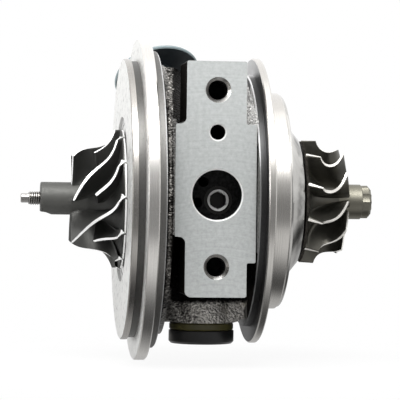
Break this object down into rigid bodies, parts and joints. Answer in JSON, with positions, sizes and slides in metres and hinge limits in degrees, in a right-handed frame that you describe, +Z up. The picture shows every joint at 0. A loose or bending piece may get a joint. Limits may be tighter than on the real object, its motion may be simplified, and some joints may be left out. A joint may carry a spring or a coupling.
{
  "type": "turbocharger centre cartridge",
  "caption": "Water-cooled turbocharger cartridge: cast bearing housing between two turned flanges, with a spinning shaft that carries compressor and turbine wheels, and plugged ports.",
  "frame": {"origin": "on the shaft axis, in the plane of the compressor flange's seating face", "axes": "+X along the shaft towards the turbine, +Z up, the milled oil pad faces -Y"},
  "size_m": [0.1283, 0.1168, 0.1168],
  "materials": {
    "cast_iron": "rough sand casting with bright turned and milled faces",
    "plate_aluminium": "turned",
    "black_rubber": "matte",
    "spring_steel": "ground",
    "sheet_steel": "pressed",
    "bronze": "turned",
    "dark_steel": "black oxide",
    "stainless": "bright pressed sheet",
    "shaft_steel": "ground",
    "wheel_aluminium": "cast with machined blade edges",
    "turbine_alloy": "investment cast nickel alloy with machined edges",
    "black_plastic": "semi gloss",
    "olive_rubber": "satin",
    "blue_grey_plastic": "satin"
  },
  "bodies": {
    "stator": {"bearing_housing": "cast_iron", "seal_plate": "plate_aluminium", "seal_plate_o_ring": "black_rubber", "seal_plate_snap_ring": "spring_steel", "oil_deflector": "sheet_steel", "thrust_bearing": "bronze", "thrust_bearing_screws": "dark_steel", "journal_bearing": "bronze", "bearing_locating_screw": "dark_steel", "compressor_piston_rings": "spring_steel", "turbine_piston_ring": "spring_steel", "heat_shield": "stainless"},
    "rotor": {"shaft": "shaft_steel", "thrust_collar": "shaft_steel", "thrust_washer": "shaft_steel", "compressor_wheel": "wheel_aluminium", "turbine_wheel": "turbine_alloy"},
    "lower_plug": {"lower_coolant_plug": "black_plastic", "lower_coolant_seal": "olive_rubber"},
    "upper_cap": {"upper_coolant_cap": "blue_grey_plastic"}
  },
  "joints": [
    {"name": "rotor_spin", "type": "hinge", "parent": "stator", "child": "rotor", "pos_m": [0, 0, 0], "axis": [1, 0, 0], "continuous": true},
    {"name": "lower_plug_pull", "type": "slide", "parent": "stator", "child": "lower_plug", "axis": [0, 0, -1], "range_m": [0, 0.03]},
    {"name": "upper_cap_pull", "type": "slide", "parent": "stator", "child": "upper_cap", "axis": [-0.1736, 0.633, 0.7544], "range_m": [0, 0.03]}
  ]
}
